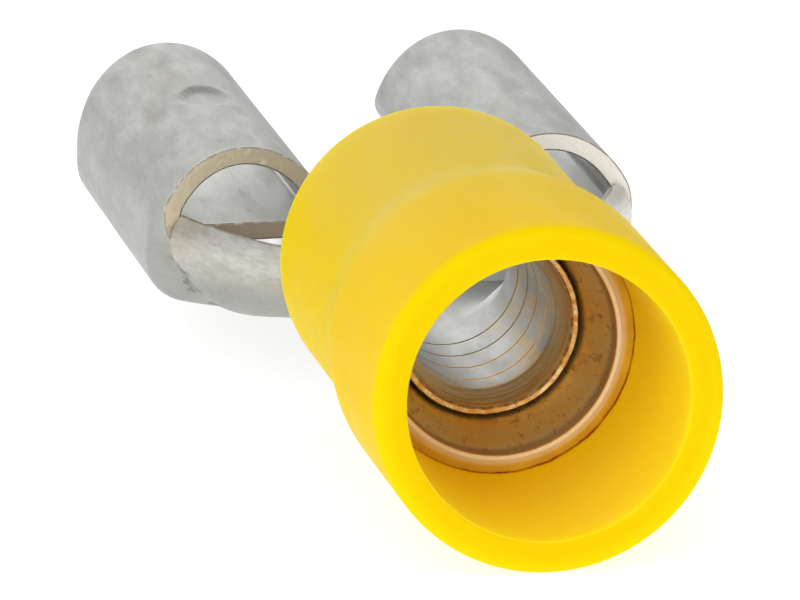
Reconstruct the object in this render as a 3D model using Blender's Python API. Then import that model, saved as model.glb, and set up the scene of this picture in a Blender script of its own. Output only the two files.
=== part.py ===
"""Insulated push-on crimp terminal for heavy wire and a wide flat tab.

Three pieces on one axis. The wire goes in at the mouth, y = 0, and the tab at the other end.
Lengths are in millimetres along +Y from the mouth, radii and heights are from the barrel's axis.
The terminal_frame empty then sets the model on its lowest point, centred along its length.
"""
import math

import bmesh
import bpy
from mathutils import Vector

MM = 0.001
SIDES = 48                      # facets round every turned surface
ROUND_STEPS = 4                 # facets across a rounded rim
SHARP_DEGREES = 32.0
FIT_GAP = 0.03                  # radial gap between pieces that are pressed together

# Overall
TOTAL_LENGTH = 31.0
MOUTH_RADIUS = 3.95             # largest radius, so the lowest point

# Insulating sleeve
SLEEVE_LENGTH = 14.5
FUNNEL_MOUTH_RADIUS = 3.18
FUNNEL_THROAT_RADIUS = 3.11
RIM_OUTER_ROUND = 0.26
RIM_INNER_ROUND = 0.13
SHOULDER_START = 5.3
SHOULDER_END = 8.4
SHOULDER_STEPS = 8
SLEEVE_REAR_RADIUS = 3.60
REAR_ROUND = 0.16

# Crimp sleeve, pressed over the barrel, its near end belled out
BELL_START = 5.96
BELL_LIP_RADIUS = 3.08
BELL_INNER_RADIUS = 2.66
BELL_LIP_BEVEL = 0.24
LIP_EDGE = 0.06                 # rounding of the lip's inner edge: along the axis, then outwards
LIP_EDGE_RISE = 0.04
LIP_FACE = 0.16
BELL_STRAIGHT = 0.35
BELL_END = 8.3
BELL_INNER_END = 8.2
BELL_STEPS = 6
CRIMP_SLEEVE_END = 13.3
CRIMP_WALL = 0.40

# Terminal: one strip of sheet
SHEET = 0.43
BARREL_RADIUS = 2.15
BARREL_START = 7.60
BARREL_END = 14.05
SEAM_HALF_GAP = 0.04
ENTRY_DEPTH = 0.90              # countersunk wire entry
ENTRY_EDGE = 0.10               # sheet left standing at the countersink's outer edge
EDGE_BREAK = 0.05
GROOVE_COUNT = 4
GROOVE_PITCH = 1.16
GROOVE_FIRST = 9.36
GROOVE_HALF_WIDTH = 0.06
GROOVE_DEPTH = 0.04

WING_ROOT_HEIGHT = 0.05         # the transition's side walls where they leave the barrel
WING_END = 18.85
WING_BULGE = (5.55, -0.75)      # where they end, each wall curves out past these two points
WING_CURL = (5.62, -0.20)
WING_TOP = (5.16, 0.27)         # and back in to this one, its upper edge
FLOOR_COLUMNS = 6
CORNER_COLUMNS = 3
SLIT_COLUMN = FLOOR_COLUMNS + CORNER_COLUMNS    # up to here the wall and the receptacle are joined
WING_COLUMNS = 14
BOTTOM_SPREAD_START = 14.4
TROUGH_ROWS = 9

RECEPTACLE_START = 18.95
WAIST_END = 20.3                # the receptacle's near end is drawn in below the waist
WAIST_TOP = 0.50
WAIST_SLOPE = 0.48
WAIST_SOFTNESS = 0.30           # depth over which the drawing in starts gently
WAIST_ROWS = 4
HALF_WIDTH = 5.81
CORNER_RADIUS = 1.0
CORNER_END_DEGREES = -15.0
SIDE_WALL = 0.05                # straight side above the corner
EAR_CENTRE_X = 3.63
EAR_CENTRE_Z = -0.74
EAR_HALF_HEIGHT = 2.54
EAR_ARC_DEGREES = 158.0
EAR_STEPS = 13
BEND_RADIUS = 0.50
BEND_STEPS = 5
FLAP_POINTS = 3                 # the end of the bend, the flap's middle and its free edge
FLAP_END_X = 5.20               # free edge of the ear, inside the tube that it forms
LEAD_IN_LENGTH = 0.5
LEAD_IN_DEPTH = 0.17

# Detent dimple in the receptacle's floor
DIMPLE_Y = 25.4
DIMPLE_SPHERE = 1.60
DIMPLE_HEIGHT = 0.28
DIMPLE_SIDES = 20
DIMPLE_RINGS = 24


def arc(centre, radius, start, end, steps):
    """Points on a circle in a plane; angles in degrees from the first axis."""
    points = []
    for step in range(steps + 1):
        angle = math.radians(start + (end - start) * step / steps)
        points.append((centre[0] + radius * math.cos(angle), centre[1] + radius * math.sin(angle)))
    return points


def ease(first, last, steps):
    """A smooth S between two (y, radius) points, without the first one."""
    points = []
    for step in range(1, steps + 1):
        part = step / steps
        lift = 0.5 - 0.5 * math.cos(math.pi * part)
        points.append((first[0] + (last[0] - first[0]) * part, first[1] + (last[1] - first[1]) * lift))
    return points


def smooth_step(value):
    value = min(1.0, max(0.0, value))
    return value * value * (3.0 - 2.0 * value)


def make_material(name, colour, roughness, metallic):
    material = bpy.data.materials.new(name)
    material.use_nodes = True
    shader = material.node_tree.nodes["Principled BSDF"]
    shader.inputs["Base Color"].default_value = (*colour, 1.0)
    shader.inputs["Roughness"].default_value = roughness
    shader.inputs["Metallic"].default_value = metallic
    return material


def add_object(name, mesh, parent, material=None):
    item = bpy.data.objects.new(name, mesh)
    bpy.context.scene.collection.objects.link(item)
    item.parent = parent
    if material:
        mesh.materials.append(material)
    return item


def finish_mesh(bm, name):
    bmesh.ops.recalc_face_normals(bm, faces=bm.faces)
    mesh = bpy.data.meshes.new(name)
    bm.to_mesh(mesh)
    bm.free()
    mesh.shade_smooth()
    mesh.set_sharp_from_angle(angle=math.radians(SHARP_DEGREES))
    return mesh


def turned_piece(name, outline, parent, material):
    """Turn a closed (y, radius) outline about the barrel's axis."""
    bm = bmesh.new()
    ring = [bm.verts.new((0.0, y * MM, -radius * MM)) for y, radius in outline]
    edges = [bm.edges.new((ring[i - 1], ring[i])) for i in range(len(ring))]
    bmesh.ops.spin(
        bm, geom=ring + edges, cent=(0, 0, 0), axis=(0, 1, 0),
        angle=2 * math.pi, steps=SIDES, use_merge=True,
    )
    return add_object(name, finish_mesh(bm, name), parent, material)


def sleeve_outline():
    """Outer wall with its soft shoulder, then the bore, which follows the crimp sleeve."""
    bore = BARREL_RADIUS + CRIMP_WALL + 2 * FIT_GAP
    rim_centre = (RIM_OUTER_ROUND, MOUTH_RADIUS - RIM_OUTER_ROUND)
    inner_centre = (RIM_INNER_ROUND, FUNNEL_MOUTH_RADIUS + RIM_INNER_ROUND)
    rear_centre = (SLEEVE_LENGTH - REAR_ROUND, SLEEVE_REAR_RADIUS - REAR_ROUND)
    bell_straight_end = BELL_START + BELL_LIP_BEVEL + BELL_STRAIGHT
    outline = arc(rim_centre, RIM_OUTER_ROUND, 180, 90, ROUND_STEPS)
    outline.append((SHOULDER_START, MOUTH_RADIUS))
    outline += ease((SHOULDER_START, MOUTH_RADIUS), (SHOULDER_END, SLEEVE_REAR_RADIUS), SHOULDER_STEPS)
    outline += arc(rear_centre, REAR_ROUND, 90, 0, ROUND_STEPS)
    outline.append((SLEEVE_LENGTH, bore))
    outline.append((BELL_END, bore))
    outline += ease((BELL_END, bore), (bell_straight_end, FUNNEL_THROAT_RADIUS), BELL_STEPS)
    outline.append((BELL_START, FUNNEL_THROAT_RADIUS))
    outline += arc(inner_centre, RIM_INNER_ROUND, 270, 180, ROUND_STEPS)
    return outline


def crimp_sleeve_outline():
    """A plain tube behind, opening into a bell with a bevelled lip in front."""
    inner = BARREL_RADIUS + FIT_GAP
    outer = inner + CRIMP_WALL
    lip_end = BELL_START + BELL_LIP_BEVEL
    outline = [(BELL_START, BELL_INNER_RADIUS + LIP_EDGE_RISE)]
    outline.append((BELL_START + LIP_EDGE, BELL_INNER_RADIUS + LIP_EDGE_RISE + LIP_FACE))
    outline.append((lip_end, BELL_LIP_RADIUS))
    outline.append((lip_end + BELL_STRAIGHT, BELL_LIP_RADIUS))
    outline += ease((lip_end + BELL_STRAIGHT, BELL_LIP_RADIUS), (BELL_END, outer), BELL_STEPS)
    outline.append((CRIMP_SLEEVE_END, outer))
    outline.append((CRIMP_SLEEVE_END, inner))
    outline.append((BELL_INNER_END, inner))
    outline += ease((BELL_INNER_END, inner), (BELL_START + LIP_EDGE, BELL_INNER_RADIUS), BELL_STEPS)
    return outline


def barrel_path():
    """Right half of the barrel's outer circle, from the bottom round to the seam."""
    wing_angle = math.degrees(math.acos(-WING_ROOT_HEIGHT / BARREL_RADIUS))
    seam_angle = 180.0 - math.degrees(SEAM_HALF_GAP / BARREL_RADIUS)
    lower = arc((0, 0), BARREL_RADIUS, -90, wing_angle - 90, WING_COLUMNS)
    upper = arc((0, 0), BARREL_RADIUS, wing_angle - 90, seam_angle - 90, SIDES // 2 - WING_COLUMNS)
    return lower + upper[1:]


def receptacle_path():
    """Right half of the receptacle's outer face: floor, corner, ear, and the ear's flap.

    The ear rolls up and over, then turns under, so that its flap lies flat above the tab.
    """
    floor_z = -BARREL_RADIUS
    corner_x = HALF_WIDTH - CORNER_RADIUS
    corner_centre = (corner_x, floor_z + CORNER_RADIUS)
    path = [(corner_x * i / FLOOR_COLUMNS, floor_z) for i in range(FLOOR_COLUMNS)]
    path += arc(corner_centre, CORNER_RADIUS, -90, CORNER_END_DEGREES, CORNER_COLUMNS)
    path.append((HALF_WIDTH, floor_z + CORNER_RADIUS + SIDE_WALL))
    ear_half_width = HALF_WIDTH - EAR_CENTRE_X
    for step in range(EAR_STEPS + 1):
        angle = math.radians(EAR_ARC_DEGREES * step / EAR_STEPS)
        x = EAR_CENTRE_X + ear_half_width * math.cos(angle)
        path.append((x, EAR_CENTRE_Z + EAR_HALF_HEIGHT * math.sin(angle)))
    last_angle = math.radians(EAR_ARC_DEGREES)
    along = Vector((-ear_half_width * math.sin(last_angle), EAR_HALF_HEIGHT * math.cos(last_angle)))
    along.normalize()
    bend_centre = (path[-1][0] - BEND_RADIUS * along.y, path[-1][1] + BEND_RADIUS * along.x)
    bend_from = math.degrees(math.atan2(-along.x, along.y))
    path += arc(bend_centre, BEND_RADIUS, bend_from % 360, 270, BEND_STEPS)[1:]
    path.append(((bend_centre[0] + FLAP_END_X) / 2, bend_centre[1] - BEND_RADIUS))
    path.append((FLAP_END_X, bend_centre[1] - BEND_RADIUS))
    return path


def drawn_in(receptacle, y):
    """The receptacle's path at a station, with its near end drawn in towards the transition."""
    amount = 1.0 - smooth_step((y - RECEPTACLE_START) / (WAIST_END - RECEPTACLE_START))
    corner_x = HALF_WIDTH - CORNER_RADIUS
    path = []
    for x, z in receptacle:
        pull = 0.0
        if z < WAIST_TOP and (x > EAR_CENTRE_X or z < -BARREL_RADIUS + SHEET):
            depth = WAIST_TOP - z
            pull = WAIST_SLOPE * depth * depth / (depth + WAIST_SOFTNESS) * amount * min(1.0, x / corner_x)
        path.append((x - pull, z))
    return path


def wing_path(receptacle):
    """The transition's section where it ends: the drawn-in floor and corner, then its own wall."""
    path = drawn_in(receptacle, RECEPTACLE_START)[:SLIT_COLUMN + 1]
    handles = [Vector(point) for point in (path[-1], WING_BULGE, WING_CURL, WING_TOP)]
    steps = WING_COLUMNS - SLIT_COLUMN
    for step in range(1, steps + 1):
        path.append(tuple(on_curve(handles, step / steps)))
    return path


def on_curve(handles, share):
    """A point on the cubic Bezier curve that four handles give."""
    rest = 1.0 - share
    weights = (rest ** 3, 3 * rest * rest * share, 3 * rest * share * share, share ** 3)
    point = Vector((0.0, 0.0))
    for weight, handle in zip(weights, handles):
        point += handle * weight
    return point


def spread(y, column):
    """How far a column of the transition has opened, 0 at the barrel and 1 where it ends."""
    run = (y - BARREL_END) / (WING_END - BARREL_END)
    top = 0.5 * (run + math.sin(0.5 * math.pi * run))
    bottom = smooth_step((y - BOTTOM_SPREAD_START) / (WING_END - BOTTOM_SPREAD_START))
    share = smooth_step((column - FLOOR_COLUMNS) / (WING_COLUMNS - FLOOR_COLUMNS))
    return bottom + (top - bottom) * share


def trough_path(barrel, wing, y):
    """The transition's section at a station, between the barrel's lower half and its own end."""
    path = []
    for column, (start, end) in enumerate(zip(barrel, wing)):
        share = spread(y, column)
        path.append((start[0] + (end[0] - start[0]) * share, start[1] + (end[1] - start[1]) * share))
    return path


def terminal_rows():
    """Stations of the strip, as (y, outer points, thickness, columns joined to the next row)."""
    barrel = barrel_path()
    receptacle = receptacle_path()
    wing = wing_path(receptacle)
    last = len(barrel) - 1
    shrunk = (BARREL_RADIUS - EDGE_BREAK) / BARREL_RADIUS
    rows = [(BARREL_START, [(x * shrunk, z * shrunk) for x, z in barrel], ENTRY_EDGE, last)]
    edge_sheet = ENTRY_EDGE + EDGE_BREAK + (SHEET - ENTRY_EDGE - EDGE_BREAK) * EDGE_BREAK / ENTRY_DEPTH
    rows.append((BARREL_START + EDGE_BREAK, barrel, edge_sheet, last))
    rows.append((BARREL_START + ENTRY_DEPTH, barrel, SHEET, last))
    for number in range(GROOVE_COUNT):
        y = GROOVE_FIRST + number * GROOVE_PITCH
        rows.append((y - GROOVE_HALF_WIDTH, barrel, SHEET, last))
        rows.append((y, barrel, SHEET - GROOVE_DEPTH, last))
        rows.append((y + GROOVE_HALF_WIDTH, barrel, SHEET, last))
    rows.append((BARREL_END, barrel, SHEET, WING_COLUMNS))
    for step in range(1, TROUGH_ROWS + 1):
        y = BARREL_END + (WING_END - BARREL_END) * step / TROUGH_ROWS
        joined = WING_COLUMNS if step < TROUGH_ROWS else SLIT_COLUMN
        rows.append((y, trough_path(barrel, wing, y), SHEET, joined))
    last = len(receptacle) - 1
    for step in range(WAIST_ROWS + 1):
        y = RECEPTACLE_START + (WAIST_END - RECEPTACLE_START) * step / WAIST_ROWS
        rows.append((y, drawn_in(receptacle, y), SHEET, last))
    rows.append((TOTAL_LENGTH - LEAD_IN_LENGTH, receptacle, SHEET, last))
    rows.append((TOTAL_LENGTH, receptacle, SHEET, 0))
    return rows


def sheet_normals(points, joined):
    """Average the normals of the cells that meet at each point of the strip's outer face."""
    sums = [[Vector() for _ in row] for row in points]
    for i, columns in enumerate(joined):
        for j in range(columns):
            a, b = points[i][j], points[i][j + 1]
            c, d = points[i + 1][j + 1], points[i + 1][j]
            normal = (d - b).cross(c - a)
            normal.normalize()
            for row, column in ((i, j), (i, j + 1), (i + 1, j + 1), (i + 1, j)):
                sums[row][column] += normal
    for row in sums:
        row[0].x = 0.0
        for normal in row:
            normal.normalize()
    return sums


def lead_in(row_count, i, column, column_count):
    """Depth taken off the tab's side of the sheet at the receptacle's far edge."""
    if i < row_count - 1:
        return 0.0, 0.0
    if column < FLOOR_COLUMNS:
        return 0.0, LEAD_IN_DEPTH
    if column >= column_count - FLAP_POINTS:
        return LEAD_IN_DEPTH, 0.0
    return 0.0, 0.0


def make_terminal(parent, material):
    """Right half of the folded strip, mirrored, with the detent dimple pressed into the floor."""
    rows = terminal_rows()
    joined = [row[3] for row in rows]
    points = [[Vector((x, row[0], z)) for x, z in row[1]] for row in rows]
    normals = sheet_normals(points, joined)
    bm = bmesh.new()
    outer, inner = [], []
    for i, row in enumerate(rows):
        outer_row, inner_row = [], []
        for j, point in enumerate(points[i]):
            off_outer, off_inner = lead_in(len(rows), i, j, len(points[i]))
            normal = normals[i][j]
            outer_row.append(bm.verts.new((point - normal * off_outer) * MM))
            inner_row.append(bm.verts.new((point - normal * (row[2] - off_inner)) * MM))
        outer.append(outer_row)
        inner.append(inner_row)

    def is_cell(i, j):
        return 0 <= i < len(joined) and 0 <= j < joined[i]

    def wall(first, second):
        bm.faces.new((outer[first[0]][first[1]], outer[second[0]][second[1]],
                      inner[second[0]][second[1]], inner[first[0]][first[1]]))

    for i, columns in enumerate(joined):
        for j in range(columns):
            corners = ((i, j), (i, j + 1), (i + 1, j + 1), (i + 1, j))
            bm.faces.new([outer[row][column] for row, column in corners])
            bm.faces.new([inner[row][column] for row, column in reversed(corners)])
            if not is_cell(i - 1, j):
                wall((i, j), (i, j + 1))
            if not is_cell(i + 1, j):
                wall((i + 1, j), (i + 1, j + 1))
            if not is_cell(i, j + 1):
                wall((i, j + 1), (i + 1, j + 1))
    mesh = finish_mesh(bm, "tinned_terminal")
    terminal = add_object("tinned_terminal", mesh, parent, material)
    mirror = terminal.modifiers.new("other_half", "MIRROR")
    mirror.use_clip = False
    mirror.merge_threshold = 0.000001
    for name, drop, operation in (("dimple_dome", 0.0, "UNION"), ("dimple_punch", SHEET, "DIFFERENCE")):
        sphere = dimple_sphere(name, drop, parent)
        cut = terminal.modifiers.new(name, "BOOLEAN")
        cut.operation = operation
        cut.object = sphere
    return terminal


def dimple_sphere(name, drop, parent):
    """A ball whose cap stands above the floor, or with drop the same cap one sheet lower.

    The dome keeps only what lies above the floor's middle, so that it adds nothing below.
    """
    floor_top = -BARREL_RADIUS + SHEET
    centre_z = floor_top + DIMPLE_HEIGHT - DIMPLE_SPHERE - drop
    bm = bmesh.new()
    bmesh.ops.create_uvsphere(
        bm, u_segments=DIMPLE_SIDES, v_segments=DIMPLE_RINGS, radius=DIMPLE_SPHERE * MM,
    )
    bmesh.ops.translate(bm, verts=bm.verts, vec=(0, DIMPLE_Y * MM, centre_z * MM))
    if not drop:
        middle = (floor_top - SHEET / 2) * MM
        everything = list(bm.verts) + list(bm.edges) + list(bm.faces)
        bmesh.ops.bisect_plane(bm, geom=everything, plane_co=(0, 0, middle), plane_no=(0, 0, 1), clear_inner=True)
        open_edges = [edge for edge in bm.edges if edge.is_boundary]
        bmesh.ops.holes_fill(bm, edges=open_edges)
    sphere = add_object(name, finish_mesh(bm, name), parent)
    sphere.hide_render = True
    sphere.display_type = "WIRE"
    return sphere


def main():
    for item in list(bpy.data.objects):
        bpy.data.objects.remove(item)
    frame = bpy.data.objects.new("terminal_frame", None)
    bpy.context.scene.collection.objects.link(frame)
    frame.location = (0.0, -TOTAL_LENGTH / 2 * MM, MOUTH_RADIUS * MM)
    vinyl = make_material("yellow_vinyl", (0.86, 0.62, 0.02), 0.42, 0.0)
    brass = make_material("brass_tube", (0.52, 0.33, 0.12), 0.38, 1.0)
    tin = make_material("tinned_brass", (0.60, 0.60, 0.57), 0.45, 1.0)
    turned_piece("insulating_sleeve", sleeve_outline(), frame, vinyl)
    turned_piece("crimp_sleeve", crimp_sleeve_outline(), frame, brass)
    make_terminal(frame, tin)


main()
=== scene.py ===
"""Looks for an insulated push-on crimp terminal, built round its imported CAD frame.

Y runs from the wire mouth to the tab end. The constants are millimetres: stations along Y are
counted from the mouth, radii and heights from the barrel's axis.
"""
import math

import bmesh
import bpy
from mathutils import Matrix, Vector, noise


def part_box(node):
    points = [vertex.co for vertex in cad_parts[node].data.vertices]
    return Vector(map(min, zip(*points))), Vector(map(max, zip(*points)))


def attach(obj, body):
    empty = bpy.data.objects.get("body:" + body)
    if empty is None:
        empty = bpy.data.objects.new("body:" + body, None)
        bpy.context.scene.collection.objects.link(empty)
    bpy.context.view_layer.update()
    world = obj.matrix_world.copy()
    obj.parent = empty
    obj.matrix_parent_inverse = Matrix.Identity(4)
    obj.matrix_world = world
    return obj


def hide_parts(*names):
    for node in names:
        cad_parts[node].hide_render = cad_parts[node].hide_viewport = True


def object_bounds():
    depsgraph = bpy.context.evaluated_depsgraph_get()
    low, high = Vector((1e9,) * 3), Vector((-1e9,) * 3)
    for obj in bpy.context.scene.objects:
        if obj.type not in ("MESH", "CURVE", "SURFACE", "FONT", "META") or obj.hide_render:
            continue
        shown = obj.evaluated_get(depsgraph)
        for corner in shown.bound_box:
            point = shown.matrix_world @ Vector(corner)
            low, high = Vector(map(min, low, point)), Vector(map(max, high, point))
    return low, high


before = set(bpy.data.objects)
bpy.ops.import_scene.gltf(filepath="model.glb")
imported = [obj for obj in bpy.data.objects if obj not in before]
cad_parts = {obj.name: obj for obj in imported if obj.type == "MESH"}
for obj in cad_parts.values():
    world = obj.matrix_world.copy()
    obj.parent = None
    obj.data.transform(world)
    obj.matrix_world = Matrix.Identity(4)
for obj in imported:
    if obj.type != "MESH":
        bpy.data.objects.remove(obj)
cad_low, cad_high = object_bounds()

MM = 0.001

# Sizes that the CAD frame gives; the lip reaches a little past the CAD's, over the gap round it
LIP_OVERSIZE = 0.025
sleeve_low, sleeve_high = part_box("insulating_sleeve")
crimp_low, crimp_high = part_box("crimp_sleeve")
strip_low, strip_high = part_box("tinned_terminal")
ORIGIN = Vector(((sleeve_low.x + sleeve_high.x) / 2, sleeve_low.y, (sleeve_low.z + sleeve_high.z) / 2))
MOUTH_RADIUS = (sleeve_high.z - sleeve_low.z) / 2 / MM
SLEEVE_LENGTH = (sleeve_high.y - sleeve_low.y) / MM
TOTAL_LENGTH = (strip_high.y - sleeve_low.y) / MM
BELL_START = (crimp_low.y - sleeve_low.y) / MM
CRIMP_SLEEVE_END = (crimp_high.y - sleeve_low.y) / MM
BELL_LIP_RADIUS = (crimp_high.x - crimp_low.x) / 2 / MM + LIP_OVERSIZE
BARREL_START = (strip_low.y - sleeve_low.y) / MM
BARREL_RADIUS = (strip_high.z - ORIGIN.z) / MM
HALF_WIDTH = (strip_high.x - strip_low.x) / 2 / MM

# Insulating sleeve
SLEEVE_SIDES = 160
FIT_GAP = 0.03
FUNNEL_MOUTH_RADIUS = 3.18
FUNNEL_THROAT_RADIUS = 3.11
SLEEVE_WAVE = 0.012
SLEEVE_GRAIN = 0.004
RIM_OUTER_ROUND = 0.26
RIM_INNER_ROUND = 0.13
SHOULDER_START = 5.3
SHOULDER_END = 8.4
SLEEVE_REAR_RADIUS = 3.60
REAR_ROUND = 0.16

# Crimp sleeve
TUBE_SIDES = 144
BELL_INNER_RADIUS = 2.66
BELL_LIP_BEVEL = 0.24
LIP_EDGE = 0.06
LIP_EDGE_RISE = 0.04
LIP_FACE = 0.16
BELL_STRAIGHT = 0.35
BELL_END = 8.3
BELL_INNER_END = 8.2
CRIMP_WALL = 0.40
BELL_WAVE = 0.014
BELL_GRAIN = 0.006
LIP_GRAIN = 0.004

# Terminal strip
SHEET = 0.43
EDGE_BREAK = 0.035
BARREL_END = 14.05
SEAM_HALF_GAP = 0.04
ENTRY_DEPTH = 0.90
ENTRY_EDGE = 0.10
ENTRY_ROWS = 14
ENTRY_CURVE = 0.85
ENTRY_RIDGE = 0.012
ENTRY_RIDGE_ROWS = 3
ENTRY_JAG = 0.07
ENTRY_JAG_ROWS = 3
GROOVE_COUNT = 4
GROOVE_PITCH = 1.16
GROOVE_FIRST = 9.36
GROOVE_HALF_WIDTH = 0.045
GROOVE_DEPTH = 0.03
# (half-widths away from the middle, share of the depth) across a groove and its flat shoulders
GROOVE_PROFILE = ((-1.8, 0.0), (-1.0, 0.0), (-0.4, 1.0), (0.4, 1.0), (1.0, 0.0), (1.8, 0.0))
WING_ROOT_HEIGHT = 0.05
WING_END = 18.88
FLOOR_COLUMNS = 20
CORNER_COLUMNS = 8
SLIT_COLUMN = FLOOR_COLUMNS + CORNER_COLUMNS
WING_COLUMNS = SLIT_COLUMN + 12
WING_EDGE_SHARE = 0.3
BARREL_COLUMNS = WING_COLUMNS + 36
BOTTOM_SPREAD_START = 14.4
TROUGH_ROWS = 30
RECEPTACLE_START = 18.95
WAIST_END = 20.3
WAIST_TOP = 0.50
WAIST_SLOPE = 0.48
WAIST_SOFTNESS = 0.30
# For the left (-1) and the right (1): how far the sheet is drawn in, and the handles of its wing's curve
WAIST_SHARE = {-1: 1.0, 1: 0.6}
WING_HANDLES = {
    -1: ((5.55, -0.75), (5.62, -0.20), (5.16, 0.27)),
    1: ((5.95, -0.30), (5.45, 1.15), (4.88, 0.20)),
}
WAIST_ROWS = 12
CORNER_RADIUS = 1.0
CORNER_END_DEGREES = -15.0
EAR_CENTRE_X = 3.63
EAR_CENTRE_Z = -0.74
EAR_HALF_HEIGHT = 2.54
EAR_ARC_DEGREES = 158.0
EAR_STEPS = 60
BEND_RADIUS = 0.50
BEND_STEPS = 12
FLAP_END_X = 5.20
FLAP_STEPS = 6
FLAP_COLUMNS = FLAP_STEPS + 3
LEAD_IN_LENGTH = 0.5
LEAD_IN_DEPTH = 0.17
RECEPTACLE_ROWS = 84
DIMPLE_Y = 25.4
DIMPLE_RADIUS = 0.90
DIMPLE_HEIGHT = 0.28
DIMPLE_BELOW = -1.9
DIE_MARK_X = -3.6
DIE_MARK_Y = 24.8
DIE_MARK_HALF_WIDTH = 0.62
DIE_MARK_HALF_LENGTH = 1.05
DIE_MARK_DEPTH = 0.10
DIE_MARK_WALL = 0.2
DIE_MARK_ABOVE = 0.8
SHEET_WAVE = 0.007
SHEET_GRAIN = 0.004
SHEET_SET_BACK = 0.006

# Where the tin is worn through, and how much painted light its inner faces get
WORN_ENTRY = 0.55
WORN_FADE = 0.75
WORN_SIDE = 0.45
WORN_SIDE_START = 0.5
LIT_TROUGH = 0.25
LIT_SLOT = 0.45
LIT_ROLL_START = 1.95
LIT_ROLL_FADE = 0.2

# Shading and the strip's material slots; the tin is slot 0, where every face starts
SHARP_DEGREES = 35.0
NORMAL_WEIGHT = 80
CUT_EDGE, CORNER = 1, 2


def place(x, y, z):
    """World place of a point in the script's millimetres."""
    return ORIGIN + Vector((x, y, z)) * MM


def on_circle(centre, radius, degrees):
    """A point on a circle in a plane; the angle is counted from the first axis."""
    angle = math.radians(degrees)
    return centre[0] + radius * math.cos(angle), centre[1] + radius * math.sin(angle)


def arc(centre, radius, start, end, steps):
    """Points on a circle between two angles in degrees, with both ends."""
    return [on_circle(centre, radius, start + (end - start) * step / steps) for step in range(steps + 1)]


def on_curve(handles, share):
    """A point on the cubic Bezier curve that four handles give."""
    rest = 1.0 - share
    weights = (rest ** 3, 3 * rest * rest * share, 3 * rest * share * share, share ** 3)
    point = Vector((0.0, 0.0))
    for weight, handle in zip(weights, handles):
        point += handle * weight
    return point


def ease(first, last, steps):
    """A smooth S between two (y, radius) points, without the first one."""
    points = []
    for step in range(1, steps + 1):
        part = step / steps
        lift = 0.5 - 0.5 * math.cos(math.pi * part)
        points.append((first[0] + (last[0] - first[0]) * part, first[1] + (last[1] - first[1]) * lift))
    return points


def straight(first, last, steps):
    """Evenly spaced points on a line, without either end."""
    return [
        (first[0] + (last[0] - first[0]) * step / steps, first[1] + (last[1] - first[1]) * step / steps)
        for step in range(1, steps)
    ]


def smooth_step(value):
    """0 up to 0, 1 from 1, and a smooth S between them."""
    value = min(1.0, max(0.0, value))
    return value * value * (3.0 - 2.0 * value)


def ripple(x, y, z, size, seed, along=4.0):
    """Smooth noise between -1 and 1; lumps are about size millimetres across and along times as long."""
    return noise.noise(Vector((x / size + seed, y / size / along - seed, z / size + 2.0 * seed)))


# ---------------------------------------------------------------- meshes

def finish_piece(bm, name, materials, slot, *nodes):
    bmesh.ops.recalc_face_normals(bm, faces=bm.faces)
    mesh = bpy.data.meshes.new(name)
    bm.to_mesh(mesh)
    bm.free()
    mesh.shade_smooth()
    mesh.set_sharp_from_angle(angle=math.radians(SHARP_DEGREES))
    piece = bpy.data.objects.new(name, mesh)
    bpy.context.scene.collection.objects.link(piece)
    for material in materials:
        mesh.materials.append(material)
    weighted = piece.modifiers.new("even_shading", "WEIGHTED_NORMAL")
    weighted.weight = NORMAL_WEIGHT
    weighted.keep_sharp = True
    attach(piece, "root")
    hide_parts(*nodes)
    return piece


def turned_mesh(outline, sides, bend):
    """Turn a closed (y, radius) outline; bend gives each point's own small move (along, outwards)."""
    bm = bmesh.new()
    rings = []
    for y, radius in outline:
        ring = []
        for side in range(sides):
            angle = 2.0 * math.pi * side / sides
            along, outwards = bend(y, radius, angle)
            reach = radius + outwards
            ring.append(bm.verts.new(place(reach * math.sin(angle), y + along, -reach * math.cos(angle))))
        rings.append(ring)
    for index, ring in enumerate(rings):
        before = rings[index - 1]
        for side in range(sides):
            after = (side + 1) % sides
            bm.faces.new((before[side], before[after], ring[after], ring[side]))
    return bm


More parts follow.
